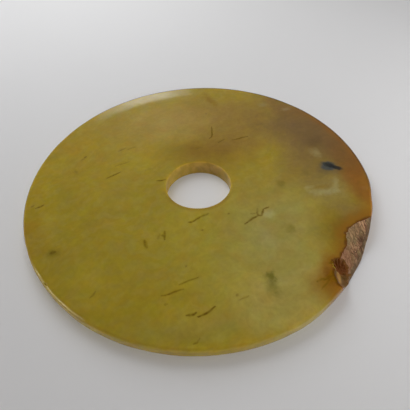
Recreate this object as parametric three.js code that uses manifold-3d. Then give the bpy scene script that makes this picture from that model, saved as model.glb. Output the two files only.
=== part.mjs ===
// Agate bi disc: a flat ring of polished stone with a drilled hole and a broken stretch of rim.
// Millimetres, +Z up. The origin is the centre of the underside, and the disc lies on that face.
// Angles are in degrees about +Z, counted from +X, so the break is at negative angles.

import * as THREE from "three";
import { mergeVertices } from "three/addons/utils/BufferGeometryUtils.js";
import Module from "manifold-3d";

const wasm = await Module();
wasm.setup();

// Disc
const DISC_DIAMETER = 150;
const THICKNESS = 6.2;
const FALL_START_RADIUS = 63; // the polished upper face is flat inside this radius
const RIM_FALL = 0.45; // how far the upper face has dropped where it reaches the rim
const RIM_ROUNDING = 1.4; // softened arrises of the rim
const RIM_SIDES = 128;
const ARRIS_STEPS = 4;

// Centre hole, drilled a little out of square, so that it leans towards -Y as it goes down
const HOLE_DIAMETER = 28.2;
const HOLE_ROUNDING = 0.5;
const HOLE_OFFSET_TOP = -0.5; // how far the hole's centre is from the axis, along Y
const HOLE_OFFSET_BOTTOM = -1.9;

// Worn stretch of the outline, where the rim is a little less than round
const WEAR = { start: -1, end: -66, startRamp: 12, endRamp: 20, depth: 1.1 };

// Rough break, sloping from the upper face out to the foot of the rim
const BREAK = { start: -17.5, end: -47.5, startRamp: 8, endRamp: 5.5, depthTop: 8.1, depthBottom: 1.1 };
const BREAK_STEPS = 36;
const BREAK_ROWS = 9;
const BREAK_ROUGHNESS = 0.35;
const BREAK_SMOOTH_FOOT = 2; // height over which the roughness fades in from the foot of the rim
const BREAK_CLEARANCE = 1; // the cutting body stands this far outside the stone

// Smooth hollow where a flake left the rim beside the break
const HOLLOW = { angle: -45.2, reach: 6.2, halfWidth: 5.1, depth: 4.2, centreRadius: 73.6 };
const HOLLOW_SIDES = 24;
const HOLLOW_RINGS = 14;

const STONE_COLOUR = 0x86762a;

const discRadius = DISC_DIAMETER / 2;
const { degToRad, radToDeg, smoothstep, lerp, mapLinear } = THREE.MathUtils;

// 1 inside a range of angles that runs clockwise from start to end, falling to 0 over each ramp
function angleWindow(angle, start, end, startRamp, endRamp) {
  const rise = smoothstep(start - angle, 0, startRamp);
  const fall = smoothstep(angle - end, 0, endRamp);
  return rise * fall;
}

function wearAt(angle) {
  return WEAR.depth * angleWindow(angle, WEAR.start, WEAR.end, WEAR.startRamp, WEAR.endRamp);
}

// Closed section of the ring: underside, rim, upper face, then back down the hole
function ringSection() {
  const holeRadius = HOLE_DIAMETER / 2;
  const rimTop = THICKNESS - RIM_FALL;
  const fallMiddle = (FALL_START_RADIUS + discRadius) / 2;
  const section = new THREE.Path();
  section.moveTo(holeRadius, HOLE_ROUNDING);
  section.quadraticCurveTo(holeRadius, 0, holeRadius + HOLE_ROUNDING, 0);
  section.lineTo(discRadius - RIM_ROUNDING, 0);
  section.quadraticCurveTo(discRadius, 0, discRadius, RIM_ROUNDING);
  section.lineTo(discRadius, rimTop - RIM_ROUNDING);
  section.quadraticCurveTo(discRadius, rimTop, discRadius - RIM_ROUNDING, rimTop);
  section.quadraticCurveTo(fallMiddle, THICKNESS, FALL_START_RADIUS, THICKNESS);
  section.lineTo(holeRadius + HOLE_ROUNDING, THICKNESS);
  section.quadraticCurveTo(holeRadius, THICKNESS, holeRadius, THICKNESS - HOLE_ROUNDING);
  section.lineTo(holeRadius, HOLE_ROUNDING);
  return section.getPoints(ARRIS_STEPS);
}

// Ring turned about +Z, with the worn stretch pulled in towards the axis and the hole leaning
function ringGeometry() {
  const geometry = new THREE.LatheGeometry(ringSection(), RIM_SIDES);
  geometry.rotateX(Math.PI / 2);
  const points = geometry.getAttribute("position");
  for (let i = 0; i < points.count; i++) {
    const x = points.getX(i);
    const y = points.getY(i);
    const radius = Math.hypot(x, y);
    const share = Math.max(0, mapLinear(radius, FALL_START_RADIUS, discRadius, 0, 1));
    const worn = 1 - (share * wearAt(radToDeg(Math.atan2(y, x)))) / radius;
    const holeEdge = radius < HOLE_DIAMETER / 2 + 2 * HOLE_ROUNDING;
    const lean = holeEdge ? lerp(HOLE_OFFSET_BOTTOM, HOLE_OFFSET_TOP, points.getZ(i) / THICKNESS) : 0;
    points.setXY(i, x * worn, y * worn + lean);
  }
  return geometry;
}

// Uneven relief of the rough break, in step lengths that don't repeat together
function breakRelief(angle, z) {
  const along = Math.sin(angle * 1.9) + 0.7 * Math.sin(angle * 3.1 + z);
  const across = Math.sin(z * 1.7 + angle * 0.8);
  return BREAK_ROUGHNESS * smoothstep(z, 0, BREAK_SMOOTH_FOOT) * (0.5 * along + 0.6 * across);
}

// Radius at which the broken stone ends, at one angle and height
function breakRadius(angle, z) {
  const open = angleWindow(angle, BREAK.start, BREAK.end, BREAK.startRamp, BREAK.endRamp);
  const slope = lerp(BREAK.depthBottom, BREAK.depthTop, z / THICKNESS);
  const depth = wearAt(angle) + slope + breakRelief(angle, z);
  return discRadius + BREAK_CLEARANCE - open * (depth + BREAK_CLEARANCE);
}

// Body that takes the break away: a box bent round the rim, with the rough face inside
function breakGeometry() {
  const geometry = new THREE.BoxGeometry(1, 1, 1, BREAK_STEPS, BREAK_ROWS, 1);
  const points = geometry.getAttribute("position");
  for (let i = 0; i < points.count; i++) {
    const angle = mapLinear(points.getX(i), -0.5, 0.5, BREAK.end, BREAK.start);
    const z = mapLinear(points.getY(i), -0.5, 0.5, -BREAK_CLEARANCE, THICKNESS + BREAK_CLEARANCE);
    const outside = points.getZ(i) > 0;
    const radius = outside ? discRadius + 2 * BREAK_CLEARANCE : breakRadius(angle, z);
    points.setXYZ(i, radius * Math.cos(degToRad(angle)), radius * Math.sin(degToRad(angle)), z);
  }
  return geometry;
}

// Rounded body that scoops the flake's hollow out of the upper edge
function hollowGeometry() {
  const geometry = new THREE.SphereGeometry(1, HOLLOW_SIDES, HOLLOW_RINGS);
  geometry.rotateX(Math.PI / 2);
  geometry.scale(HOLLOW.reach, HOLLOW.halfWidth, HOLLOW.depth);
  geometry.translate(HOLLOW.centreRadius, 0, THICKNESS);
  geometry.rotateZ(degToRad(HOLLOW.angle));
  return geometry;
}

function toSolid(geometry) {
  geometry.deleteAttribute("normal");
  geometry.deleteAttribute("uv");
  const merged = mergeVertices(geometry);
  return new wasm.Manifold(
    new wasm.Mesh({
      numProp: 3,
      vertProperties: merged.getAttribute("position").array,
      triVerts: Uint32Array.from(merged.getIndex().array),
    }),
  );
}

function toGeometry(solid) {
  const { vertProperties, triVerts } = solid.getMesh();
  const geometry = new THREE.BufferGeometry();
  geometry.setAttribute("position", new THREE.BufferAttribute(vertProperties, 3));
  geometry.setIndex(new THREE.BufferAttribute(triVerts, 1));
  geometry.computeVertexNormals();
  return geometry;
}

const stone = toSolid(ringGeometry()).subtract(toSolid(breakGeometry())).subtract(toSolid(hollowGeometry()));

const disc = new THREE.Mesh(
  toGeometry(stone),
  new THREE.MeshStandardMaterial({ color: STONE_COLOUR, roughness: 0.3, metalness: 0 }),
);
disc.name = "disc";

const biDisc = new THREE.Group();
biDisc.add(disc);

export default biDisc;
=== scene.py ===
from math import atan2, cos, degrees, exp, hypot, pi, radians, sin, tau

import bmesh
import bpy
from mathutils import Matrix, Vector, kdtree, noise


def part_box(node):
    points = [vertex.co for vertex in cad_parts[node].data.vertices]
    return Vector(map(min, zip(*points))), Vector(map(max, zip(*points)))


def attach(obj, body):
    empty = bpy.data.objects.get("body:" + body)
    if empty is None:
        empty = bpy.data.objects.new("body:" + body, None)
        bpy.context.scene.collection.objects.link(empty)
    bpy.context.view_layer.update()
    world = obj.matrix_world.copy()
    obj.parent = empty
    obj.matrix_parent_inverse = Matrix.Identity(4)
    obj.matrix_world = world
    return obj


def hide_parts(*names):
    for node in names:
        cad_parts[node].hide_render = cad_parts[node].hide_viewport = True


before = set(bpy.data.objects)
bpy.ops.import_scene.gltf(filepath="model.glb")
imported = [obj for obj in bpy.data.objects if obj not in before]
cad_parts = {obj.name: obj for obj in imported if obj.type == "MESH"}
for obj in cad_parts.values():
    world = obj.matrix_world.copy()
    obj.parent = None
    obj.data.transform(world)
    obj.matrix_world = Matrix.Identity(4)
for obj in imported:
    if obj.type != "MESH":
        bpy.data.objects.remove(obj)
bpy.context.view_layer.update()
mm = 0.001
discLow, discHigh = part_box("disc")
discRadius = -discLow.x / mm  # the rim is whole on this side
discThickness = discHigh.z / mm
print("frame loaded: disc", round(2 * discRadius, 2), "mm across,", round(discThickness, 2), "mm thick")


# camera, at the angle the object was photographed from
cameraView = {
    "distance": 2.528,  # disc radii from the centre of the underside
    "elevation": 46.87,
    "yaw": 0.73,  # small turns away from the centre
    "pitch": -1.74,
    "roll": -3.15,
    "lens": 37.06,
    "sensor": 36.0,
    "nearClip": 0.005,
}


def addCamera(view):
    data = bpy.data.cameras.new("camera")
    data.lens = view["lens"]
    data.sensor_width = view["sensor"]
    data.clip_start = view["nearClip"]
    rise = radians(view["elevation"])
    away = view["distance"] * discRadius * mm
    turn = (
        Matrix.Rotation(pi / 2 - rise, 4, "X")
        @ Matrix.Rotation(radians(-view["yaw"]), 4, "Y")
        @ Matrix.Rotation(radians(view["pitch"]), 4, "X")
        @ Matrix.Rotation(radians(view["roll"]), 4, "Z")
    )
    camera = bpy.data.objects.new("camera", data)
    camera.matrix_world = Matrix.Translation((0, -away * cos(rise), away * sin(rise))) @ turn
    bpy.context.scene.collection.objects.link(camera)
    bpy.context.scene.camera = camera


addCamera(cameraView)
print("camera set")


# disc: a ring turned from a five-cornered section, in millimetres
discShape = {
    "hole": 14.1,
    "holeRounding": 0.5,
    "holeOffset": (-1.9, -0.5),  # of its centre along Y, below and above: the hole leans
    "holeEase": 10.0,  # how far round the hole the mesh follows that
    "rimRounding": 1.4,
    "fallFrom": 69.0,  # middle of the soft bend where the upper face starts to drop
    "fallBend": 4.6,
    "fall": 0.59,  # drop of the upper face at the rim
    "roundingSegments": 6,
    "spacing": 1.5,
    "steps": 360,
    "weld": 1e-4,
    "wander": 0.12,  # how far the hand-ground edges stray
    "wanderScale": 0.09,
    "wanderNoise": (0.8, 2.2, 4),  # noises of the mesh: fall-off, step in scale, octaves
}
# stretches of rim that are worn to a little less than round, clockwise from start to end
rimWear = {
    "long": {"start": -1, "end": -66, "startRamp": 12, "endRamp": 20, "depth": 1.1},
    "break": {"start": -13, "end": -35, "startRamp": 9, "endRamp": 7, "depth": 0.8},
}
wearFrom = 63.0  # radius from which the upper face follows


def smoothRise(value, width):
    share = min(max(value / width, 0), 1)
    return share * share * (3 - 2 * share)


def angleWindow(angle, start, end, startRamp, endRamp):
    return smoothRise(start - angle, startRamp) * smoothRise(angle - end, endRamp)


def wearAt(angle):
    depth = 0
    for w in rimWear.values():
        depth += w["depth"] * angleWindow(angle, w["start"], w["end"], w["startRamp"], w["endRamp"])
    return depth


def holeMiddle(z):
    low, high = discShape["holeOffset"]
    return low + (high - low) * z / discThickness


def turnRing(shape):
    bm = bmesh.new()
    rimTop = discThickness - shape["fall"]
    section = [
        (shape["hole"], 0, shape["holeRounding"]),
        (discRadius, 0, shape["rimRounding"]),
        (discRadius, rimTop, shape["rimRounding"]),
        (shape["fallFrom"], discThickness, shape["fallBend"]),
        (shape["hole"], discThickness, shape["holeRounding"]),
    ]
    corners = [bm.verts.new((radius, 0, z)) for radius, z, rounding in section]
    for here, there in zip(corners, corners[1:] + corners[:1]):
        bm.edges.new((here, there))
    for corner, (radius, z, rounding) in zip(corners, section):
        bmesh.ops.bevel(
            bm,
            geom=[corner],
            offset=rounding,
            affect="VERTICES",
            segments=shape["roundingSegments"],
            profile=0.5,
            material=-1,
        )
    for edge in bm.edges[:]:
        cuts = int(edge.calc_length() / shape["spacing"])
        if cuts:
            bmesh.ops.subdivide_edges(bm, edges=[edge], cuts=cuts)
    bmesh.ops.spin(
        bm,
        geom=bm.verts[:] + bm.edges[:],
        cent=(0, 0, 0),
        axis=(0, 0, 1),
        angle=tau,
        steps=shape["steps"],
        use_merge=True,
    )
    bmesh.ops.remove_doubles(bm, verts=bm.verts[:], dist=shape["weld"])
    return bm


def wearRing(bm, shape):
    for v in bm.verts:
        radius = hypot(v.co.x, v.co.y)
        outward = Vector((v.co.x, v.co.y, 0)) / radius
        angle = degrees(atan2(v.co.y, v.co.x))
        toRim = max(0, (radius - wearFrom) / (discRadius - wearFrom))
        toHole = 1 - smoothRise(radius - shape["hole"] - shape["holeRounding"], shape["holeEase"])
        wander = shape["wander"] * noise.fractal(v.co * shape["wanderScale"], *shape["wanderNoise"])
        v.co -= outward * (toRim * (wearAt(angle) + max(0, wander)) - toHole * wander)
        v.co.y += toHole * holeMiddle(v.co.z)


ring = turnRing(discShape)
wearRing(ring, discShape)
print("ring turned:", len(ring.faces), "faces")


# break in the rim: a rough face that slopes from the upper face out to the foot of the rim
rimBreak = {
    "start": -18.5,  # degrees, clockwise from start to end
    "end": -47.0,
    "startRamp": 11.5,
    "endRamp": 5,
    "depthTop": 8.1,
    "depthBottom": 0.4,
    "bottomStart": (-33, 6),  # angle from which the foot is broken too, and the ramp there
    "bottomEnd": (-46, 9),
    "narrowFrom": -30,  # past this angle the break is less deep, by mm a degree
    "narrowing": 0.12,
    "footStart": 4.9,  # height where the break starts, and the angles over which it reaches the foot
    "footEnd": -35,
    "footRamp": 15,
    "smoothFoot": 2.0,  # height over which the relief fades in
    "clearance": 1.0,
    "along": 230,  # grid of the rough face
    "up": 52,
    "swell": 0.5,  # long waves of the break
    "swellScale": (0.16, 0.28, 3.1),  # of the noise along and up, and the layer of it
    "swellNoise": (0.9, 2.1, 3),
    "grain": 2.0,  # tilt of the broken grains
    "grainSize": (2.4, 1.3),  # along the rim and up the slope
    "grainLean": 0.25,
    "grainLayer": 7.7,
    "tiltSpread": 3.7,
    "coarse": (-34, -40, 0.7),  # grains are full to the first angle, and this much lower at the second
    "calmTop": (4.4, 1.6, 0.65),  # height from which grains die down, over what height, and how far
    "grit": 0.12,
    "gritScale": (1.3, 2.2, 1.7),
    "gritNoise": (0.7, 2.3, 4),
}
# scars where flakes left the upper edge beside the break, and a nick in the rim across from it
flakeScars = {
    "slope": {
        "at": (59.5, -50.7, 14.7),
        "reach": (14.9, 12.3, 14.9),
        "turn": 0,
        "flutes": 0.10,
        "swell": 0.2,
    },
    "hollow": {
        "at": (52.0, -46.8, 6.4),
        "reach": (4.5, 3.0, 4.8),
        "turn": -30,
        "flutes": 0.24,
        "swell": 0.35,
    },
}
rimNick = {
    "at": (-57.6, -46.6, 6.2),
    "reach": (1.1, 0.7, 1.0),
    "turn": -45,
    "flutes": 0.0,
    "swell": 0.1,
}
scarMesh = {
    "subdivisions": 6,
    "flutes": 17,  # round the scar
    "fluteSway": 2,
    "swayScale": 2,
    "swellScale": 0.45,
    "swellNoise": (0.9, 2.0, 3),
}
slotNames = ["polishedAgate", "brokenAgate", "flakedAgate", "fissuredAgate"]
polishedSlot, brokenSlot, flakedSlot, fissuredSlot = range(len(slotNames))


def breakNoise(name, along, z):
    alongScale, upScale, layer = rimBreak[name + "Scale"]
    return noise.fractal(Vector((along * alongScale, z * upScale, layer)), *rimBreak[name + "Noise"])


def breakRelief(angle, z):
    b = rimBreak
    along = radians(angle) * discRadius
    longGrain, highGrain = b["grainSize"]
    spot = Vector((along / longGrain + z * b["grainLean"], z / highGrain, b["grainLayer"]))
    nearest = noise.voronoi(spot)[1][0]
    tilt = noise.cell_vector(nearest * b["tiltSpread"]) - Vector((0.5, 0.5, 0.5))
    grain = (spot - nearest).dot(tilt)
    fullTo, lowFrom, drop = b["coarse"]
    grain *= 1 - drop * smoothRise(fullTo - angle, fullTo - lowFrom)
    calmFrom, calmRamp, calm = b["calmTop"]
    grain *= 1 - calm * smoothRise(z - calmFrom, calmRamp)
    relief = b["grain"] * grain
    for name in ("swell", "grit"):
        relief += b[name] * breakNoise(name, along, z)
    return smoothRise(z, b["smoothFoot"]) * relief


def breakRadius(angle, z):
    b = rimBreak
    past = b["start"] - angle
    opened = 1 - (1 - min(past / b["startRamp"], 1)) ** 2
    closing = smoothRise(angle - b["end"], b["endRamp"])
    depthTop = opened * (b["depthTop"] - b["narrowing"] * max(0, b["narrowFrom"] - angle))
    bottomStart, bottomStartRamp = b["bottomStart"]
    bottomEnd, bottomEndRamp = b["bottomEnd"]
    bottomSpan = (bottomStart, bottomEnd, bottomStartRamp, bottomEndRamp)
    depthBottom = b["depthBottom"] * angleWindow(angle, *bottomSpan)
    foot = b["footStart"] * smoothRise(angle - b["footEnd"], b["footRamp"])
    slope = depthBottom + (depthTop - depthBottom) * (z - foot) / (discThickness - foot)
    depth = wearAt(angle) + slope + opened * breakRelief(angle, z)
    return discRadius + b["clearance"] - closing * max(0, depth + b["clearance"])


def breakCutter():
    b = rimBreak
    bm = bmesh.new()
    bmesh.ops.create_grid(bm, x_segments=b["along"], y_segments=b["up"], size=0.5)
    for v in bm.verts:
        angle = b["end"] + (b["start"] - b["end"]) * (v.co.x + 0.5)
        z = (discThickness + 2 * b["clearance"]) * (v.co.y + 0.5) - b["clearance"]
        radius = breakRadius(angle, z)
        v.co = (radius * cos(radians(angle)), radius * sin(radians(angle)), z)
    outer = bmesh.ops.extrude_face_region(bm, geom=bm.faces[:])["geom"]
    for v in outer:
        if isinstance(v, bmesh.types.BMVert):
            stretch = (discRadius + 2 * b["clearance"]) / hypot(v.co.x, v.co.y)
            v.co.x *= stretch
            v.co.y *= stretch
    return bm


def scarCutter(scar):
    m = scarMesh
    swellScale = scar["reach"][0] * m["swellScale"]
    bm = bmesh.new()
    bmesh.ops.create_icosphere(bm, subdivisions=m["subdivisions"], radius=1)
    for v in bm.verts:
        around = m["flutes"] * atan2(v.co.y, v.co.x)
        sway = m["fluteSway"] * noise.noise(v.co * m["swayScale"])
        flute = sin(around + sway) * (1 - v.co.z * v.co.z)
        swell = noise.fractal(v.co * swellScale, *m["swellNoise"])
        v.co *= 1 + (scar["flutes"] * flute + scar["swell"] * swell) / max(scar["reach"])
    bmesh.ops.scale(bm, verts=bm.verts[:], vec=scar["reach"])
    bmesh.ops.rotate(bm, verts=bm.verts[:], matrix=Matrix.Rotation(radians(scar["turn"]), 3, "Z"))
    bmesh.ops.translate(bm, verts=bm.verts[:], vec=scar["at"])
    return bm


def bmeshToObject(bm, name, slot=polishedSlot):
    for face in bm.faces:
        face.material_index = slot
        face.smooth = True
    bmesh.ops.recalc_face_normals(bm, faces=bm.faces[:])
    mesh = bpy.data.meshes.new(name)
    bm.to_mesh(mesh)
    bm.free()
    for slotName in slotNames:
        mesh.materials.append(bpy.data.materials.get(slotName) or bpy.data.materials.new(slotName))
    made = bpy.data.objects.new(name, mesh)
    bpy.context.scene.collection.objects.link(made)
    return made


def cutAway(piece, cutters):
    for cutter in cutters:
        modifier = piece.modifiers.new(cutter.name, "BOOLEAN")
        modifier.operation = "DIFFERENCE"
        modifier.solver = "EXACT"
        modifier.material_mode = "INDEX"
        modifier.object = cutter
    bpy.context.view_layer.update()
    evaluated = piece.evaluated_get(bpy.context.evaluated_depsgraph_get())
    finished = bpy.data.meshes.new_from_object(evaluated)
    piece.modifiers.clear()
    piece.data = finished
    for cutter in cutters:
        bpy.data.objects.remove(cutter)


disc = bmeshToObject(ring, "agateDisc")
cutters = [bmeshToObject(breakCutter(), "breakCutter", brokenSlot)]
for scarName, scar in flakeScars.items():
    cutters.append(bmeshToObject(scarCutter(scar), scarName + "ScarCutter", flakedSlot))
cutters.append(bmeshToObject(scarCutter(rimNick), "nickCutter"))
cutAway(disc, cutters)
print("break cut:", len(disc.data.polygons), "faces")


# healed fissures and small pits in the polished upper face: line followed, width, depth of tone
fissures = {
    "rightOfHole": ([(17.7, -24.5), (19.5, -23.0), (21.3, -21.6), (23.7, -20.4)], 0.46, 1),
    "rightStep": ([(23.5, -20.4), (25.0, -20.5)], 0.46, 0.95),
    "rightBarb": ([(23.3, -18.6), (23.5, -20.4)], 0.50, 0.8),
    "rightBarbTwo": ([(25.0, -20.5), (25.6, -18.5), (26.4, -17.2)], 0.46, 0.9),
    "rightTip": ([(26.4, -17.2), (27.1, -16.8), (28.4, -16.2)], 0.42, 1),
    "rightFaint": ([(20.5, -19.4), (23.0, -19.1)], 0.50, 0.55),
    "rightFaintUp": ([(23.8, -16.7), (23.4, -18.7)], 0.60, 0.5),
    "belowHole": ([(-3.4, -21.9), (-2.0, -21.0), (-0.7, -19.9), (0.1, -19.3)], 0.46, 1),
    "belowHoleTail": ([(-4.9, -21.8), (-3.2, -21.9)], 0.40, 0.95),
    "belowHoleTip": ([(0.1, -19.3), (1.8, -18.8), (3.4, -18.0)], 0.45, 0.8),
    "nearRim": ([(-2.5, -63.3), (-0.2, -62.5), (1.0, -61.9), (1.9, -61.2), (3.3, -59.9)], 0.46, 1),
    "nearRimTail": ([(-6.5, -62.6), (-5.2, -62.5), (-4.0, -62.4), (-3.3, -61.8)], 0.50, 1),
    "farLeftA": ([(-36.9, 24.0), (-33.8, 25.7)], 0.45, 0.65),
    "farLeftB": ([(-32.7, 24.7), (-29.2, 26.4)], 0.45, 0.55),
    "farLeftC": ([(-37.6, 13.5), (-35.0, 14.5), (-31.5, 16.1)], 0.42, 0.55),
    "farLeftD": ([(-40.6, 5.9), (-38.0, 7.5), (-34.9, 9.4)], 0.38, 0.95),
    "farLeftE": ([(-23.9, 9.8), (-20.7, 10.8)], 0.50, 0.3),
    "leftOfHole": ([(-18.4, 2.6), (-16.4, 2.7), (-14.4, 3.0)], 0.36, 1),
    "leftRim": ([(-69.0, -9.6), (-67.5, -9.2), (-65.9, -8.1)], 0.45, 0.95),
    "aboveHole": ([(8.2, 38.6), (8.0, 34.8), (7.8, 31.1), (6.5, 29.5)], 0.38, 0.95),
    "aboveHoleB": ([(10.6, 26.2), (12.0, 27.3), (13.8, 28.5)], 0.42, 0.8),
    "aboveHoleC": ([(17.3, 27.5), (20.8, 28.3), (22.0, 28.8), (25.2, 29.6)], 0.38, 0.9),
    "aboveHoleD": ([(30.4, 37.8), (33.2, 39.1)], 0.45, 0.55),
    "aboveHoleE": ([(-0.5, 22.2), (2.2, 23.4)], 0.45, 0.5),
    "nearLong": ([(-15.2, -54.6), (-12.7, -54.2), (-10.4, -53.2), (-7.4, -52.4)], 0.38, 0.8),
    "nearLongB": ([(-8.8, -50.5), (-5.7, -49.2), (-2.0, -47.9)], 0.34, 0.7),
    "nearRight": ([(11.9, -58.0), (13.5, -57.3), (15.4, -56.6)], 0.36, 0.55),
    "nearLeft": ([(-40.4, -53.6), (-39.5, -52.8), (-38.7, -51.2)], 0.34, 0.7),
    "nearEdge": ([(-4.5, -72.6), (-3.3, -72.2), (-2.4, -71.0)], 0.34, 0.65),
    "leftSmudge": ([(-22.2, -29.9), (-21.8, -31.8), (-21.3, -33.3)], 0.75, 0.8),
    "leftSmudgeB": ([(-14.4, -26.0), (-14.5, -28.0), (-14.4, -29.9)], 0.55, 0.8),
    "leftSmudgeBar": ([(-15.8, -27.8), (-14.5, -28.2)], 0.50, 0.8),
    "leftSmudgeC": ([(-16.4, -27.1), (-17.0, -29.3)], 0.60, 0.55),
    "breakSideA": ([(46.6, -45.0), (49.8, -44.0)], 0.50, 0.8),
    "breakDark": ([(47.0, -48.8), (46.9, -50.2), (46.3, -51.6)], 1.2, 0.4),
    "breakCrack": ([(46.9, -51.6), (48.0, -52.9), (49.2, -53.9)], 0.55, 1),
    "breakSideB": ([(40.4, -52.5), (43.2, -51.2)], 0.45, 0.7),
    "breakSideC": ([(41.2, -55.7), (43.5, -53.5), (45.7, -51.2)], 0.40, 0.6),
    "breakSideD": ([(42.9, -52.0), (45.2, -50.9), (46.6, -50.2)], 0.50, 0.8),
    "farRight": ([(32.5, 10.8), (34.2, 15.0), (36.0, 18.3)], 0.50, 0.2),
    "pitBreak": ([(55.6, -33.8), (56.4, -34.8)], 0.80, 0.9),
    "pitFarLeft": ([(-52.6, 20.3), (-51.9, 21.3)], 0.60, 0.8),
    "pitFarLeftB": ([(-53.9, 19.1), (-52.6, 19.5)], 0.45, 0.65),
    "pitLeft": ([(-55.6, 11.8), (-54.6, 10.4)], 0.70, 0.5),
    "pitLeftRim": ([(-71.0, -8.6), (-70.2, -7.9)], 0.55, 0.95),
    "pitLeftGreen": ([(-58.2, -33.4), (-56.6, -32.9)], 0.80, 0.8),
    "pitNear": ([(-13.9, -58.0), (-13.1, -57.9)], 0.55, 0.55),
    "pitNearRight": ([(11.3, -56.2), (11.7, -55.7)], 0.50, 0.7),
    "pitBelowHole": ([(11.4, -18.6), (12.0, -18.4)], 0.60, 0.7),
    "pitUnderHole": ([(0.4, -26.3), (0.9, -26.2)], 0.60, 0.7),
    "pitMiddle": ([(-6.4, -43.0), (-6.0, -42.6)], 0.40, 0.7),
    "pitTop": ([(5.6, 49.0), (6.3, 50.2)], 0.50, 0.5),
}
fissureMesh = {
    "reach": (2.6, 1.6, 1.0),  # how far round a fissure the mesh is made finer, level by level
    "wobble": 0.22,
    "wobbleScale": 0.7,
    "endWidth": 0.75,  # share of the width at the ends, and what the middle adds
    "middleWidth": 0.5,
    "fading": 0.35,  # how unevenly a fissure shows along its line
    "fadingScale": 1.1,
    "depth": 0.05,  # of the deepest groove
    "dullFrom": 0.12,  # tone past which the polish is lost
    "levelFrom": 0.8,  # how far upward a face looks to count as the upper face
}
sharpFrom = 50  # degrees between faces past which an edge is sharp
stainAndPaintedLightReach = 12.0  # how far from the break and the hole the distance is kept, for the stain along the break and the painted glow and shade at the hole


# distance from a spot to the fissure's line, and how far along the line that is
def fissurePlace(path, spot):
    lengths = [hypot(b[0] - a[0], b[1] - a[1]) for a, b in zip(path, path[1:])]
    best = (1e9, 0)
    passed = 0
    for a, b, length in zip(path, path[1:], lengths):
        share = ((spot.x - a[0]) * (b[0] - a[0]) + (spot.y - a[1]) * (b[1] - a[1])) / length**2
        share = min(max(share, 0), 1)
        gap = hypot(spot.x - a[0] - share * (b[0] - a[0]), spot.y - a[1] - share * (b[1] - a[1]))
        best = min(best, (gap, (passed + share * length) / sum(lengths)))
        passed += length
    return best


def fissureTone(fissure, spot):
    path, wide, dark = fissure
    m = fissureMesh
    wander = m["wobble"] * noise.noise_vector(spot * m["wobbleScale"])
    gap, along = fissurePlace(path, spot + wander)
    wide *= m["endWidth"] + m["middleWidth"] * sin(pi * along)
    uneven = 1 - m["fading"] * (0.5 + noise.noise(spot * m["fadingScale"]))
    return dark * uneven * exp(-((gap / wide) ** 2))


def fissureBox(path, reach):
    xs = [x for x, y in path]
    ys = [y for x, y in path]
    return min(xs) - reach, max(xs) + reach, min(ys) - reach, max(ys) + reach


def nearFissures(spot, boxes):
    near = []
    for name, (x0, x1, y0, y1) in boxes.items():
        if x0 < spot.x < x1 and y0 < spot.y < y1:
            near.append(name)
    return near


def onUpperFace(spot, normal):
    return normal.z > fissureMesh["levelFrom"] and spot.z > discThickness / 2


def fissureBoxes(reach):
    return {name: fissureBox(path, reach) for name, (path, wide, dark) in fissures.items()}


def refineFissures(bm):
    for reach in fissureMesh["reach"]:
        boxes = fissureBoxes(reach)
        edges = set()
        for face in bm.faces:
            spot = face.calc_center_median()
            if face.material_index == polishedSlot and onUpperFace(spot, face.normal):
                near = nearFissures(spot, boxes)
                if any(fissurePlace(fissures[name][0], spot)[0] < reach for name in near):
                    edges.update(face.edges)
        bmesh.ops.subdivide_edges(bm, edges=list(edges), cuts=1, use_grid_fill=True)
    bmesh.ops.triangulate(bm, faces=[face for face in bm.faces if len(face.verts) > 4])


def carveFissures(bm):
    toneLayer = bm.verts.layers.float.new("fissure")
    boxes = fissureBoxes(fissureMesh["reach"][0])
    for v in bm.verts:
        if onUpperFace(v.co, v.normal):
            tones = [fissureTone(fissures[name], v.co) for name in nearFissures(v.co, boxes)]
            v[toneLayer] = max(tones, default=0)
    for v in bm.verts:
        v.co.z -= fissureMesh["depth"] * v[toneLayer]
    for face in bm.faces:
        darkest = max(v[toneLayer] for v in face.verts)
        if face.material_index == polishedSlot and darkest > fissureMesh["dullFrom"]:
            face.material_index = fissuredSlot


# keeps on each vertex how far it is from the wall of the hole
def measureFromHole(bm):
    distanceLayer = bm.verts.layers.float.new("fromHole")
    for v in bm.verts:
        away = hypot(v.co.x, v.co.y - holeMiddle(v.co.z)) - discShape["hole"]
        v[distanceLayer] = min(away, stainAndPaintedLightReach)


def isBroken(face):
    return face.material_index in (brokenSlot, flakedSlot)


# keeps on each vertex how far it is from the broken stone
def measureFromBreak(bm):
    edgeVerts = [v for v in bm.verts if any(isBroken(face) for face in v.link_faces)]
    nearest = kdtree.KDTree(len(edgeVerts))
    for index, v in enumerate(edgeVerts):
        nearest.insert(v.co, index)
    nearest.balance()
    distanceLayer = bm.verts.layers.float.new("fromBreak")
    for v in bm.verts:
        v[distanceLayer] = min(nearest.find(v.co)[2], stainAndPaintedLightReach)


def finishSurface(piece):
    bm = bmesh.new()
    bm.from_mesh(piece.data)
    refineFissures(bm)
    measureFromBreak(bm)
    measureFromHole(bm)
    carveFissures(bm)
    for edge in bm.edges:
        sides = {face.material_index if isBroken(face) else polishedSlot for face in edge.link_faces}
        edge.smooth = len(sides) == 1 and edge.calc_face_angle(0) < radians(sharpFrom)
    bm.to_mesh(piece.data)
    bm.free()


finishSurface(disc)
disc.data.transform(Matrix.Scale(mm, 4))
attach(disc, "root")
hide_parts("disc")
disc.data.calc_loop_triangles()
print("fissures carved:", len(disc.data.loop_triangles), "triangles")


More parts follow.
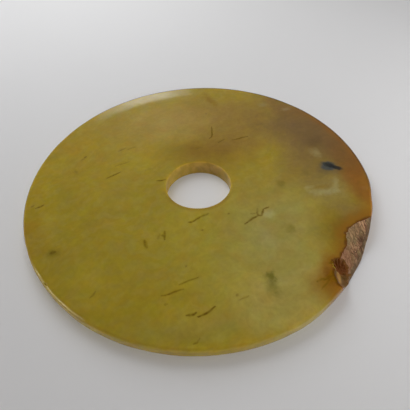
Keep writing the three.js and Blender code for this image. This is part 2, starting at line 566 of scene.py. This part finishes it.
# stone: colour zones, flaws and finish, in millimetres on the disc's own coordinates
stoneColours = {
    "olive": (0.385, 0.283, 0.008),
    "yellow": (0.425, 0.312, 0.012),
    "ochre": (0.430, 0.280, 0.006),
    "drab": (0.360, 0.255, 0.025),
    "honey": (0.266, 0.150, 0.003),
    "nut": (0.285, 0.158, 0.028),
    "greyTan": (0.280, 0.203, 0.058),
    "tan": (0.450, 0.305, 0.072),
    "brown": (0.200, 0.116, 0.033),
    "redBrown": (0.205, 0.085, 0.015),
    "orange": (0.290, 0.104, 0.006),
    "amber": (0.295, 0.130, 0.003),
    "rust": (0.110, 0.034, 0.003),
    "rimBrown": (0.230, 0.110, 0.018),
    "milk": (0.470, 0.430, 0.190),
    "umber": (0.060, 0.028, 0.003),
    "fissure": (0.130, 0.068, 0.001),
    "greyGreen": (0.365, 0.317, 0.092),
    "mist": (0.505, 0.410, 0.108),
    "pale": (0.370, 0.315, 0.120),
    "lime": (0.420, 0.342, 0.030),
    "oliveBrown": (0.235, 0.150, 0.006),
    # painted light: the glow on the wall of the hole
    "glow": (0.620, 0.400, 0.050),
    "green": (0.140, 0.125, 0.002),
    "blueGrey": (0.075, 0.078, 0.068),
    "black": (0.009, 0.009, 0.009),
}
# clouds in the stone: middle, half widths, turn in degrees, colour, share of it, softness of the edge
paleClouds = {
    "leftGlow": ((-38, 30), (36, 20), 30, "ochre", 0.45, 0.9),
    "ochreRim": ((-60, 33), (7, 15), 30, "ochre", 0.7, 0.8),
    "leftEdge": ((-68, -22), (4, 16), 17, "amber", 0.3, 0.9),
    "nearGlow": ((2, -48), (32, 18), 15, "yellow", 0.5, 0.9),
    "paleRim": ((8, -66), (28, 5), 3, "greyGreen", 0.35, 0.9),
    "paleNear": ((16, -50), (13, 9), 20, "mist", 0.5, 0.9),
    "greenMiddle": ((12, -36), (22, 20), 10, "lime", 0.8, 0.9),
    "tanTop": ((-12, 44), (26, 13), 5, "tan", 0.8, 0.9),
    "lowRight": ((31, -56), (16, 11), 40, "mist", 0.9, 0.9),
    "paleRight": ((31, -26), (16, 22), -20, "greyGreen", 0.85, 0.9),
    "rightOfHoleDrab": ((26, -3), (12, 12), 0, "drab", 0.7, 0.9),
}
# browner stone and smaller marks, laid over the hazes
stonePatches = {
    "honeyTop": ((22, 46), (27, 16), -20, "nut", 0.65, 0.9),
    "honeyHole": ((6, 20.5), (18, 9.5), 0, "honey", 0.9, 0.8),
    "nutMiddle": ((20, 28), (14, 8), -10, "nut", 0.55, 0.9),
    "tanRight": ((47, 18), (6, 7), 0, "tan", 0.35, 0.9),
    "brownTop": ((42, 36), (13, 13), -35, "brown", 0.2, 0.9),
    "brownSide": ((58, 28), (17, 28), 32, "brown", 0.95, 0.8),
    "brownLow": ((50, 6), (11, 12), 0, "brown", 0.6, 0.9),
    "redSide": ((69, 9), (7, 17), 8, "redBrown", 0.75, 0.9),
    "rimSide": ((53, 47), (6, 24), 42, "rimBrown", 0.6, 0.9),
    "amberSide": ((63, 38), (3, 14), 33, "amber", 0.5, 0.9),
    "darkCloud": ((56.6, 22.4), (3, 4), 0, "umber", 0.3, 0.9),
    "breakShade": ((57, -28), (9, 12), -30, "oliveBrown", 0.9, 0.9),
    "breakRust": ((64.5, -25.4), (3.4, 0.8), 28, "rust", 0.8, 0.8),
    "tanStreak": ((70.7, -8.3), (2, 1.2), 20, "tan", 0.6, 0.8),
    "paleBelow": ((26.5, -31), (3.2, 4), 20, "pale", 0.3, 0.9),
    "paleStep": ((27.6, -19.6), (2.2, 2), 30, "milk", 0.35, 0.8),
    "rightTan": ((57, -9), (9, 8), 0, "greyTan", 0.8, 0.9),
    "orangeRim": ((70.5, -9), (5, 14), 8, "orange", 0.75, 0.9),
    "orangeLow": ((64, -22), (5, 4), 25, "orange", 0.5, 0.9),
    "breakGrey": ((61, -20), (5, 4), 20, "greyTan", 0.5, 0.9),
    "breakAmber": ((45.5, -54.5), (6, 7), 30, "amber", 0.85, 0.9),
    "breakDark": ((46.7, -50.2), (2.4, 3.8), 0, "rust", 1, 0.6),
    "wispRight": ((53.5, -9.2), (5.4, 1.7), -3, "milk", 0.45, 0.9),
    "wispHook": ((57.6, -8.0), (1.4, 2.2), -30, "milk", 0.35, 0.9),
    "wispUp": ((59.4, -4.4), (1.0, 2.8), -15, "milk", 0.3, 0.9),
    "wispLeft": ((47.4, -6.4), (2.2, 1), 10, "milk", 0.35, 0.9),
    "wispPocket": ((52.2, -6.8), (3.6, 1.2), 5, "honey", 0.5, 0.9),
    "wispFar": ((55.2, 15.4), (1.7, 2.6), 20, "milk", 0.28, 0.9),
    "wispRimA": ((36.1, 54.8), (2.2, 1.6), 15, "pale", 0.35, 0.9),
    "wispRimB": ((47.1, 49.9), (2.4, 1.2), 20, "pale", 0.35, 0.9),
    "amberTop": ((9, 61), (1.6, 6), 28, "honey", 0.7, 0.9),
    "greenCore": ((24.6, -49.3), (1.5, 2.0), 0, "green", 0.7, 0.9),
    "greenBody": ((24.3, -52.8), (2.0, 3.6), 8, "green", 0.6, 0.9),
    "greenSpot": ((35.5, -27.8), (1.4, 1.8), 0, "green", 0.45, 0.9),
    "greenMote": ((35.9, -3.5), (1.6, 2.2), 0, "green", 0.4, 0.9),
    "greenHalo": ((-57.6, -33.3), (2.4, 1.6), 10, "green", 0.5, 0.9),
    "inclusionHalo": ((58.6, 5.2), (4, 3.2), -10, "blueGrey", 0.35, 0.9),
    "inclusion": ((58.7, 5.9), (3.5, 2.7), -8, "blueGrey", 1, 0.3),
    "inclusionTop": ((59.4, 6.7), (2.6, 1.3), -18, "black", 0.9, 0.6),
    "inclusionTail": ((62.0, 4.9), (2.6, 1.2), -20, "black", 0.9, 0.4),
}
smallPatch = 3.0  # patches narrower than this keep their shape better


# settings come first, because a group's sockets come with its tree
def putNode(tree, kind, inputs=None, **settings):
    made = tree.nodes.new(kind)
    for name, value in settings.items():
        setattr(made, name, value)
    for key, value in (inputs or {}).items():
        if isinstance(value, bpy.types.NodeSocket):
            tree.links.new(value, made.inputs[key])
        else:
            made.inputs[key].default_value = value
    return made


def calc(tree, operation, first, second):
    return putNode(tree, "ShaderNodeMath", {0: first, 1: second}, operation=operation).outputs[0]


def calcVector(tree, operation, first, second):
    key = "Scale" if operation == "SCALE" else 1
    inputs = {0: first, key: second}
    return putNode(tree, "ShaderNodeVectorMath", inputs, operation=operation).outputs[0]


def dotProduct(tree, first, second):
    inputs = {0: first, 1: second}
    return putNode(tree, "ShaderNodeVectorMath", inputs, operation="DOT_PRODUCT").outputs["Value"]


# length as seen from above
def flatLength(tree, place):
    flat = calcVector(tree, "MULTIPLY", place, (1, 1, 0))
    return putNode(tree, "ShaderNodeVectorMath", {0: flat}, operation="LENGTH").outputs["Value"]


def readAttribute(tree, name):
    return putNode(tree, "ShaderNodeAttribute", attribute_name=name).outputs["Fac"]


def mixColour(tree, share, under, over, blend="MIX"):
    under = under if isinstance(under, bpy.types.NodeSocket) else (*under, 1)
    over = over if isinstance(over, bpy.types.NodeSocket) else (*over, 1)
    inputs = {"Factor": share, 6: under, 7: over}
    return putNode(tree, "ShaderNodeMix", inputs, data_type="RGBA", blend_type=blend).outputs[2]


def ramp(tree, value, low, high, toLow=0.0, toHigh=1.0):
    inputs = {"Value": value, "From Min": low, "From Max": high, "To Min": toLow, "To Max": toHigh}
    made = putNode(tree, "ShaderNodeMapRange", inputs, interpolation_type="SMOOTHSTEP")
    return made.outputs["Result"]


# place turned and measured in its own units along each axis
def stretched(tree, place, scale, turn):
    mapping = {"Vector": place, "Rotation": (0, 0, radians(turn)), "Scale": scale}
    return putNode(tree, "ShaderNodeMapping", mapping, vector_type="TEXTURE").outputs["Vector"]


# noise with features of one size in millimetres, longer along one direction if asked
def noiseNode(tree, place, size, detail, roughness=0.5, longer=1.0, turn=0.0):
    place = stretched(tree, place, (size * longer, size, size), turn)
    inputs = {"Vector": place, "Scale": 1.0, "Detail": detail, "Roughness": roughness}
    return putNode(tree, "ShaderNodeTexNoise", inputs)


def cloudNoise(tree, place, *settings):
    return noiseNode(tree, place, *settings).outputs["Fac"]


def newGroup(name, inputs, outputs):
    tree = bpy.data.node_groups.new(name, "ShaderNodeTree")
    for socketName, kind in inputs:
        tree.interface.new_socket(name=socketName, in_out="INPUT", socket_type=kind)
    for socketName, kind in outputs:
        tree.interface.new_socket(name=socketName, in_out="OUTPUT", socket_type=kind)
    return tree, tree.nodes.new("NodeGroupInput"), tree.nodes.new("NodeGroupOutput")


def placeGroup(tree, groupTree, inputs):
    return putNode(tree, "ShaderNodeGroup", inputs, node_tree=groupTree).outputs[0]


# oval cloud with a soft, ragged edge, lying at one place of the stone
def patchGroup():
    sockets = [
        ("Place", "NodeSocketVector"),
        ("Centre", "NodeSocketVector"),
        ("Reach", "NodeSocketVector"),
        ("Turn", "NodeSocketFloat"),
        ("Soft", "NodeSocketFloat"),
        ("Share", "NodeSocketFloat"),
        ("Ragged", "NodeSocketFloat"),
    ]
    tree, given, result = newGroup("stonePatch", sockets, [("Mask", "NodeSocketFloat")])
    get = given.outputs
    offset = calcVector(tree, "SUBTRACT", get["Place"], get["Centre"])
    angle = calc(tree, "MULTIPLY", get["Turn"], -1.0)
    turning = {"Vector": offset, "Angle": angle}
    turned = putNode(tree, "ShaderNodeVectorRotate", turning, rotation_type="Z_AXIS").outputs[0]
    away = flatLength(tree, calcVector(tree, "DIVIDE", turned, get["Reach"]))
    away = calc(tree, "ADD", away, calc(tree, "MULTIPLY", get["Ragged"], get["Soft"]))
    low = calc(tree, "SUBTRACT", 1.0, get["Soft"])
    high = calc(tree, "ADD", 1.0, get["Soft"])
    inside = ramp(tree, away, low, high, 1.0, 0.0)
    tree.links.new(calc(tree, "MULTIPLY", inside, get["Share"]), result.inputs["Mask"])
    return tree


def placePatch(tree, patchTree, place, ragged, patch):
    middle, reach, turn, tint, share, soft = patch
    inputs = {
        "Place": place,
        "Centre": (*middle, 0),
        "Reach": (*reach, 1),
        "Turn": radians(turn),
        "Soft": soft,
        "Share": share,
        "Ragged": ragged,
    }
    return placeGroup(tree, patchTree, inputs)


def layPatch(tree, patchTree, colour, place, ragged, patch, colours):
    tint = patch[3]
    mask = placePatch(tree, patchTree, place, ragged, patch)
    return mixColour(tree, mask, colour, colours[tint])


# colour of the stone all through: drifting tone, clouds, veils along one direction and fine mottling
stoneGrain = {
    "turn": 33,
    "bigWarp": (22, 4.0),  # size of the swirls and how far they push, mm
    "smallWarp": (3.5, 0.9),
    "warpDetail": 2.0,
    "smallRags": (1.9, 2.2),  # size of the rags of small clouds and how far they reach
    "bigRags": (9.0, 0.9),
    "ragNoise": (4.0, 0.6),  # noises of the stone: detail, roughness
    "drift": (34, 3.0),  # size, detail
    "driftTurn": (0.38, 0.62),  # values of the noise between which one tone passes into the other
    "veil": (12.0, 1.3, 0.035),  # width, length to width, change of tone
    "wisp": (4.5, 1.15, 0.05),
    "mottle": (1.6, 1.0, 0.05),
    "toneNoise": (3.0, 0.55),
    "toneTurn": (0.3, 0.7),
    "hazeDepth": 40,  # each haze is cut from its own depth of the noise
    "hazeNoise": (1.5, 0.4),
    "hazeTurn": (0.42, 0.66),
}
# hazes in the stone: tint, share of it, how it is laid on, width, and length to width
stoneHazes = {
    "drab": ((0.360, 0.255, 0.025), 0.35, "MIX", 10.0, 1.5),
    "greener": ((0.96, 1.01, 1.0), 1.0, "MULTIPLY", 6.5, 1.2),
    "warmer": ((1.02, 0.97, 0.95), 1.0, "MULTIPLY", 5.0, 1.2),
    "milky": ((0.420, 0.350, 0.090), 0.15, "MIX", 3.2, 1.2),
}


def pushed(tree, place, warp):
    size, reach = warp
    push = noiseNode(tree, place, size, stoneGrain["warpDetail"]).outputs["Color"]
    push = calcVector(tree, "SUBTRACT", push, (0.5, 0.5, 0.5))
    return calcVector(tree, "ADD", place, calcVector(tree, "SCALE", push, 2 * reach))


def ragNoise(tree, place, rags):
    size, reach = rags
    cloud = cloudNoise(tree, place, size, *stoneGrain["ragNoise"])
    return calc(tree, "MULTIPLY", calc(tree, "SUBTRACT", cloud, 0.5), reach)


def stoneColourGroup(patchTree):
    sockets = [("Place", "NodeSocketVector")], [("Colour", "NodeSocketColor")]
    tree, given, result = newGroup("stoneColour", *sockets)
    grain = stoneGrain
    nearby = pushed(tree, given.outputs["Place"], grain["smallWarp"])
    drifted = pushed(tree, nearby, grain["bigWarp"])
    drift = ramp(tree, cloudNoise(tree, drifted, *grain["drift"]), *grain["driftTurn"])
    colour = mixColour(tree, drift, stoneColours["olive"], stoneColours["yellow"])
    smallRags = ragNoise(tree, given.outputs["Place"], grain["smallRags"])
    bigRags = ragNoise(tree, given.outputs["Place"], grain["bigRags"])
    for patch in paleClouds.values():
        colour = layPatch(tree, patchTree, colour, drifted, bigRags, patch, stoneColours)
    for index, (tint, share, blend, size, longer) in enumerate(stoneHazes.values()):
        layer = calcVector(tree, "ADD", drifted, (0, 0, grain["hazeDepth"] * (index + 1)))
        haze = cloudNoise(tree, layer, size, *grain["hazeNoise"], longer, grain["turn"])
        haze = ramp(tree, haze, *grain["hazeTurn"], 0.0, share)
        colour = mixColour(tree, haze, colour, tint, blend)
    for patch in stonePatches.values():
        reach = patch[1]
        small = min(reach) < smallPatch
        place = nearby if small else drifted
        ragged = smallRags if small else bigRags
        colour = layPatch(tree, patchTree, colour, place, ragged, patch, stoneColours)
    tone = 1.0
    for layer in ("veil", "wisp", "mottle"):
        size, longer, change = grain[layer]
        cloud = cloudNoise(tree, drifted, size, *grain["toneNoise"], longer, grain["turn"])
        cloud = ramp(tree, cloud, *grain["toneTurn"], 1 - change, 1 + change)
        tone = calc(tree, "MULTIPLY", cloud, tone)
    shade = putNode(tree, "ShaderNodeCombineColor", {0: tone, 1: tone, 2: tone}).outputs[0]
    tree.links.new(mixColour(tree, 1.0, colour, shade, "MULTIPLY"), result.inputs["Colour"])
    return tree


# colour of the finished surface: the stone, stained along the break, with a painted glow on the wall of
# the hole and painted shade on its near lip, warm at a stretch of the rim, painted shade along the far
# arris, dark in the fissures
stainsAndPaintedLight = {
    "amberReach": (0.5, 7.5),  # millimetres from the break, full and gone
    "amberShare": 0.9,
    "amberRags": (4.0, 6.0),  # size of the stain's rags and how far they reach
    "rustReach": (0.1, 1.2),
    "rustShare": 0.85,
    "rustRags": (2.4, 2.2),
    "paintedWallLightReach": (0.12, 0.32),  # millimetres from the wall of the hole, where a painted glow stands in for light through the stone
    "paintedWallLightShare": 0.75,
    "paintedWallLightNoise": (3.0, 3.0),  # size and detail of the uneven painted glow
    "paintedWallLightTurn": (0.38, 0.62, 0.45),  # values of the noise between which it changes, and its least share
    # painted shade on the near lip of the hole
    "paintedLipShadeReach": (0.4, 2.4),
    "paintedLipShadeShare": 0.8,
    "paintedLipShadeSide": (-10.0, -5.0),  # painted shade darkens the lip on the -Y side, between these
    "warmReach": (69.0, 74.0),  # radii over which the stone grows orange towards the rim
    "warmSide": (0.98, 0.18),  # direction in which it does
    "warmSpread": (58.0, 72.0),
    "warmShare": 0.5,
    "edgeReach": (72.8, 74.1),  # radii over which painted shade darkens the arris
    "edgeSide": (0.45, 0.89),  # direction in which it is darkest
    "edgeSpread": (-20.0, 75.0),
    "edgeShare": 0.85,
}


def soaked(tree, place, name):
    away = readAttribute(tree, "fromBreak")
    away = calc(tree, "ADD", away, ragNoise(tree, place, stainsAndPaintedLight[name + "Rags"]))
    return ramp(tree, away, *stainsAndPaintedLight[name + "Reach"], stainsAndPaintedLight[name + "Share"], 0.0)


def surfaceColourGroup(colourTree):
    sockets = [("Place", "NodeSocketVector")], [("Colour", "NodeSocketColor")]
    tree, given, result = newGroup("surfaceColour", *sockets)
    place = given.outputs["Place"]
    colour = placeGroup(tree, colourTree, {"Place": place})
    for name in ("amber", "rust"):
        colour = mixColour(tree, soaked(tree, place, name), colour, stoneColours[name])
    fromHole = readAttribute(tree, "fromHole")
    along = putNode(tree, "ShaderNodeSeparateXYZ", {0: place}).outputs["Y"]
    # painted shade on the near lip, on the -Y side only
    paintedLipShade = ramp(tree, fromHole, *stainsAndPaintedLight["paintedLipShadeReach"], stainsAndPaintedLight["paintedLipShadeShare"], 0.0)
    paintedLipShade = calc(tree, "MULTIPLY", paintedLipShade, ramp(tree, along, *stainsAndPaintedLight["paintedLipShadeSide"], 1.0, 0.0))
    # painted glow on the wall of the hole, standing in for light through the stone
    paintedWallLight = ramp(tree, fromHole, *stainsAndPaintedLight["paintedWallLightReach"], stainsAndPaintedLight["paintedWallLightShare"], 0.0)
    mottle = ramp(tree, cloudNoise(tree, place, *stainsAndPaintedLight["paintedWallLightNoise"]), *stainsAndPaintedLight["paintedWallLightTurn"])
    paintedWallLight = calc(tree, "MULTIPLY", paintedWallLight, mottle)
    colour = mixColour(tree, paintedWallLight, colour, stoneColours["glow"])
    colour = mixColour(tree, paintedLipShade, colour, stoneColours["oliveBrown"])
    radius = flatLength(tree, place)
    # warm orange towards one stretch of the rim, then painted shade along the far arris
    for name, tint in (("warm", "orange"), ("edge", "umber")):
        side = dotProduct(tree, place, (*stainsAndPaintedLight[name + "Side"], 0))
        band = ramp(tree, radius, *stainsAndPaintedLight[name + "Reach"], 0.0, stainsAndPaintedLight[name + "Share"])
        band = calc(tree, "MULTIPLY", band, ramp(tree, side, *stainsAndPaintedLight[name + "Spread"]))
        colour = mixColour(tree, band, colour, stoneColours[tint])
    colour = mixColour(tree, readAttribute(tree, "fissure"), colour, stoneColours["fissure"])
    tree.links.new(colour, result.inputs["Colour"])
    return tree


def startMaterial(name):
    material = bpy.data.materials[name]
    material.use_nodes = True
    tree = material.node_tree
    where = putNode(tree, "ShaderNodeTexCoord").outputs["Object"]
    return tree, tree.nodes["Principled BSDF"], calcVector(tree, "SCALE", where, 1 / mm)


# translucent stone under a worn polish, and the duller lines of healed fissures
polish = {
    "ior": 1.54,
    "wipe": (5, 5.0, 0.6),  # size, detail and roughness of the noise behind the worn polish
    "roughness": (0.3, 0.7, 0.10, 0.20),  # from these values of the noise to these of the shader
    "fissureRoughness": 0.6,
    "fissureSpecular": 0.05,
    "subsurface": 0.8,
    "fissureSubsurface": 0.1,
    "subsurfaceRadius": (1.0, 0.8, 0.16),
    "subsurfaceScale": 6.0 * mm,
    "waves": (6, 3.0),
    "waveHeight": 0.02 * mm,
}


def translucent(shader, subsurface):
    shader.inputs["IOR"].default_value = polish["ior"]
    shader.inputs["Subsurface Weight"].default_value = subsurface
    shader.inputs["Subsurface Radius"].default_value = polish["subsurfaceRadius"]
    shader.inputs["Subsurface Scale"].default_value = polish["subsurfaceScale"]


def addBump(tree, shader, height, distance):
    bump = putNode(tree, "ShaderNodeBump", {"Height": height, "Strength": 1.0, "Distance": distance})
    tree.links.new(bump.outputs["Normal"], shader.inputs["Normal"])


def polishedAgate(surfaceTree):
    tree, shader, place = startMaterial("polishedAgate")
    tree.links.new(placeGroup(tree, surfaceTree, {"Place": place}), shader.inputs["Base Color"])
    wipe = cloudNoise(tree, place, *polish["wipe"])
    tree.links.new(ramp(tree, wipe, *polish["roughness"]), shader.inputs["Roughness"])
    addBump(tree, shader, cloudNoise(tree, place, *polish["waves"]), polish["waveHeight"])
    translucent(shader, polish["subsurface"])


def fissuredAgate(surfaceTree):
    tree, shader, place = startMaterial("fissuredAgate")
    tree.links.new(placeGroup(tree, surfaceTree, {"Place": place}), shader.inputs["Base Color"])
    translucent(shader, polish["fissureSubsurface"])
    shader.inputs["Roughness"].default_value = polish["fissureRoughness"]
    shader.inputs["Specular IOR Level"].default_value = polish["fissureSpecular"]


# rough break: pinkish brown streaks and grains with dark cracks between, more even at one end
brokenFace = {
    "pink": (0.560, 0.310, 0.155),
    "dust": (0.700, 0.470, 0.270),
    "brown": (0.230, 0.105, 0.045),
    "dark": (0.080, 0.028, 0.012),
    "grey": (0.300, 0.215, 0.090),
    "rim": (0.150, 0.100, 0.052),
    "evenTone": (0.290, 0.135, 0.062),
    "warp": (2.0, 0.6),  # size of the swirls and how far they push
    "grain": (3.6, 1.4, 4.2),  # size of the grains along, across and up the break
    "turn": -75,
    "gritNoise": (0.6, 4.0, 0.6, 2.0),  # size, detail, roughness, length to width
    "streakNoise": (1.0, 2.0, 0.5, 3.5),
    "streakGrain": 0.25,  # how far the tone of a grain shifts its streaks
    "pinkTurn": (0.38, 0.62),  # values between which each tone comes in, and its share
    "dustTurn": (0.50, 0.75),
    "greyTurn": (0.55, 0.75, 0.0, 0.7),
    "crackTurn": (0.0, 0.10, 0.8, 0.0),
    "paintedFootShadeTurn": (0.0, 1.6, 0.6, 0.0),  # heights between which painted shade darkens the foot
    "rimTurn": (71.4, 72.4, 0.0, 0.7),  # radii over which the outer edge darkens
    "grainRelief": 0.5,
    "gritRelief": 0.5,
    "edgeRelief": (0.0, 0.3),  # distance from a crack over which a grain rises
    "even": ((53.6, -42.4), (3.4, 4.6), -38, "evenTone", 0.75, 0.6),
    "greySide": ((58.2, -31.5), (3.2, 6.0), -30, "grey", 0.5, 0.8),
    "darkCorner": ((62.6, -33.6), (1.1, 2.4), -30, "dark", 0.75, 0.7),
    "roughness": 0.72,
    "bump": 0.30 * mm,
}


def brokenAgate(patchTree):
    look = brokenFace
    tree, shader, place = startMaterial("brokenAgate")
    bent = pushed(tree, place, look["warp"])
    grains = {"Vector": stretched(tree, bent, look["grain"], look["turn"]), "Scale": 1.0}
    cells = putNode(tree, "ShaderNodeTexVoronoi", grains).outputs["Color"]
    edges = putNode(tree, "ShaderNodeTexVoronoi", grains, feature="DISTANCE_TO_EDGE")
    edges = edges.outputs["Distance"]
    cellTones = putNode(tree, "ShaderNodeSeparateColor", {0: cells}).outputs
    grit = cloudNoise(tree, place, *look["gritNoise"], look["turn"])
    ragged = calc(tree, "SUBTRACT", grit, 0.5)
    streaks = cloudNoise(tree, bent, *look["streakNoise"], look["turn"])
    shift = calc(tree, "MULTIPLY", calc(tree, "SUBTRACT", cellTones[0], 0.5), look["streakGrain"])
    streaks = calc(tree, "ADD", streaks, shift)
    colour = mixColour(tree, ramp(tree, streaks, *look["pinkTurn"]), look["brown"], look["pink"])
    colour = mixColour(tree, ramp(tree, grit, *look["dustTurn"]), colour, look["dust"])
    colour = mixColour(tree, ramp(tree, cellTones[1], *look["greyTurn"]), colour, look["grey"])
    colour = mixColour(tree, ramp(tree, edges, *look["crackTurn"]), colour, look["dark"])
    for name in ("greySide", "darkCorner"):
        colour = layPatch(tree, patchTree, colour, place, ragged, look[name], look)
    even = placePatch(tree, patchTree, place, ragged, look["even"])
    colour = mixColour(tree, even, colour, look["evenTone"])
    height = putNode(tree, "ShaderNodeSeparateXYZ", {0: place}).outputs["Z"]
    # painted shade darkens the foot of the break
    colour = mixColour(tree, ramp(tree, height, *look["paintedFootShadeTurn"]), colour, look["dark"])
    radius = flatLength(tree, place)
    colour = mixColour(tree, ramp(tree, radius, *look["rimTurn"]), colour, look["rim"])
    tree.links.new(colour, shader.inputs["Base Color"])
    relief = calc(tree, "MULTIPLY", cellTones[0], look["grainRelief"])
    relief = calc(tree, "ADD", relief, ramp(tree, edges, *look["edgeRelief"]))
    relief = calc(tree, "ADD", relief, calc(tree, "MULTIPLY", grit, look["gritRelief"]))
    relief = calc(tree, "ADD", relief, streaks)
    relief = calc(tree, "MULTIPLY", relief, calc(tree, "SUBTRACT", 1.0, even))
    addBump(tree, shader, relief, look["bump"])
    shader.inputs["Roughness"].default_value = look["roughness"]
    shader.inputs["IOR"].default_value = polish["ior"]


# flake scars: a brown slope with a fluted hollow, dark from stain and painted shade,
# and an amber ridge where the stone is thin, painted lighter as light coming through it
flakeScar = {
    "slope": (0.100, 0.050, 0.008),
    # the hollow is dark from stain and painted shade
    "hollow": (0.215, 0.072, 0.016),
    "flute": (0.300, 0.125, 0.050),
    # amber of the ridge with painted light through the thin stone
    "paintedLitRidge": (0.400, 0.220, 0.050),
    "crack": (0.060, 0.018, 0.004),
    "patches": {
        # the ridge patch is painted lighter as light through the thin stone; the shade patch is painted
        # shade
        "hollow": ((51.2, -46.0), (3.2, 2.6), -30, "hollow", 0.95, 0.4),
        "paintedLitRidge": ((49.3, -50.2), (0.9, 2.8), -10, "paintedLitRidge", 0.95, 0.6),
        "shade": ((51.7, -50.0), (1.2, 3.0), -15, "slope", 0.9, 0.5),
        "crack": ((47.7, -52.6), (0.8, 4.0), 10, "crack", 0.9, 0.5),
    },
    "ragNoise": (1.2, 3.0, 0.6),  # size, detail, roughness
    "ridgeTurn": (0.35, 0.65, 0.0, 0.2),
    "fluteNoise": (0.5, 2.0, 0.5, 6.0, -60),  # size, detail, roughness, length to width, turn
    "fluteTurn": (0.5, 0.65, 0.0, 0.45),
    "subsurface": 0.15,
    "roughness": 0.42,
    "specular": 0.1,
    "bump": 0.12 * mm,
}


def flakedAgate(patchTree):
    look = flakeScar
    tree, shader, place = startMaterial("flakedAgate")
    rags = cloudNoise(tree, place, *look["ragNoise"])
    ragged = calc(tree, "SUBTRACT", rags, 0.5)
    colour = mixColour(tree, ramp(tree, rags, *look["ridgeTurn"]), look["slope"], look["paintedLitRidge"])
    for patch in look["patches"].values():
        colour = layPatch(tree, patchTree, colour, place, ragged, patch, look)
    flutes = cloudNoise(tree, place, *look["fluteNoise"])
    colour = mixColour(tree, ramp(tree, flutes, *look["fluteTurn"]), colour, look["flute"])
    tree.links.new(colour, shader.inputs["Base Color"])
    addBump(tree, shader, flutes, look["bump"])
    translucent(shader, look["subsurface"])
    shader.inputs["Roughness"].default_value = look["roughness"]
    shader.inputs["Specular IOR Level"].default_value = look["specular"]


stonePatch = patchGroup()
surfaceColour = surfaceColourGroup(stoneColourGroup(stonePatch))
polishedAgate(surfaceColour)
fissuredAgate(surfaceColour)
brokenAgate(stonePatch)
flakedAgate(stonePatch)
print("stone coloured:", len(paleClouds) + len(stonePatches), "clouds")


# floor and light
studio = {
    "floorSize": 6.0,
    "floorDrop": 0.05 * mm,
    "floorColour": (0.785, 0.78, 0.78),
    "floorRoughness": 0.7,
    "skyColour": (1.0, 0.955, 0.945),
    "skyLevel": 0.17,
    "skyGlow": 0.12,  # added round one direction
    "glowAxis": (0.0, 0.82, 0.57),
    "glowTurn": (0.88, 1.0),
}
coolTint = (0.965, 0.985, 1.0)
# softboxes: azimuth, elevation and how far away, then size, radiance and what sets each apart
softboxes = {
    "backWindow": ((99.5, 24.5, 0.8), (0.14, 0.126), 1.5, {}),
    "backGlow": ((100.5, 24.5, 0.82), (0.25, 0.126), 1.1, {}),
    "cornerWindow": ((134, 10, 0.8), (0.37, 0.20), 0.1, {}),
    "leftWindow": ((191, 18, 0.8), (0.45, 0.12), 12.0, {"tint": (1.0, 0.9, 0.65), "lit": False}),
    "keyLight": ((114, 42, 0.42), (0.35, 0.35), 1.0, {"tint": coolTint, "gloss": False}),
    # lightens the shadow, as light through the stone does
    "keyGlow": ((114, 42, 0.40), (0.35, 0.35), 1.58, {"tint": coolTint, "gloss": False, "shadow": False}),
    "fillLight": ((-10, 28, 0.3), (0.2, 0.2), 3.0, {"gloss": False, "shadow": False}),
    "frontLight": ((-105, 6, 0.6), (0.6, 0.09), 4.6, {"tint": (1.0, 0.94, 0.91), "gloss": False}),
}


def addFloor(look):
    bm = bmesh.new()
    bmesh.ops.create_grid(bm, x_segments=1, y_segments=1, size=look["floorSize"] / 2)
    bmesh.ops.translate(bm, verts=bm.verts[:], vec=(0, 0, -look["floorDrop"]))
    floorMesh = bpy.data.meshes.new("floor")
    bm.to_mesh(floorMesh)
    bm.free()
    floor = bpy.data.objects.new("floor", floorMesh)
    bpy.context.scene.collection.objects.link(floor)
    material = bpy.data.materials.new("paleFloor")
    material.use_nodes = True
    shader = material.node_tree.nodes["Principled BSDF"]
    shader.inputs["Base Color"].default_value = (*look["floorColour"], 1)
    shader.inputs["Roughness"].default_value = look["floorRoughness"]
    floorMesh.materials.append(material)


def addSoftbox(name, stand, size, radiance, own):
    azimuth, elevation, away = stand
    data = bpy.data.lights.new(name, "AREA")
    data.shape = "RECTANGLE"
    data.size, data.size_y = size
    data.color = own.get("tint", (1, 1, 1))
    data.use_shadow = own.get("shadow", True)
    data.energy = radiance * pi * data.size * data.size_y
    around = radians(azimuth)
    rise = radians(elevation)
    towards = Vector((cos(around) * cos(rise), sin(around) * cos(rise), sin(rise)))
    facing = towards.to_track_quat("Z", "Y").to_matrix().to_4x4()
    light = bpy.data.objects.new(name, data)
    light.matrix_world = Matrix.Translation(towards * away) @ facing
    light.visible_glossy = own.get("gloss", True)
    light.visible_diffuse = own.get("lit", True)
    bpy.context.scene.collection.objects.link(light)


def addSky(look):
    world = bpy.data.worlds.new("studio")
    world.use_nodes = True
    tree = world.node_tree
    background = tree.nodes["Background"]
    background.inputs["Color"].default_value = (*look["skyColour"], 1)
    towards = putNode(tree, "ShaderNodeTexCoord").outputs["Generated"]
    glow = dotProduct(tree, towards, look["glowAxis"])
    levels = (look["skyLevel"], look["skyLevel"] + look["skyGlow"])
    tree.links.new(ramp(tree, glow, *look["glowTurn"], *levels), background.inputs["Strength"])
    bpy.context.scene.world = world


addFloor(studio)
addSky(studio)
for boxName, box in softboxes.items():
    addSoftbox(boxName, *box)
bpy.context.scene.view_settings.view_transform = "Standard"
print("studio lit")
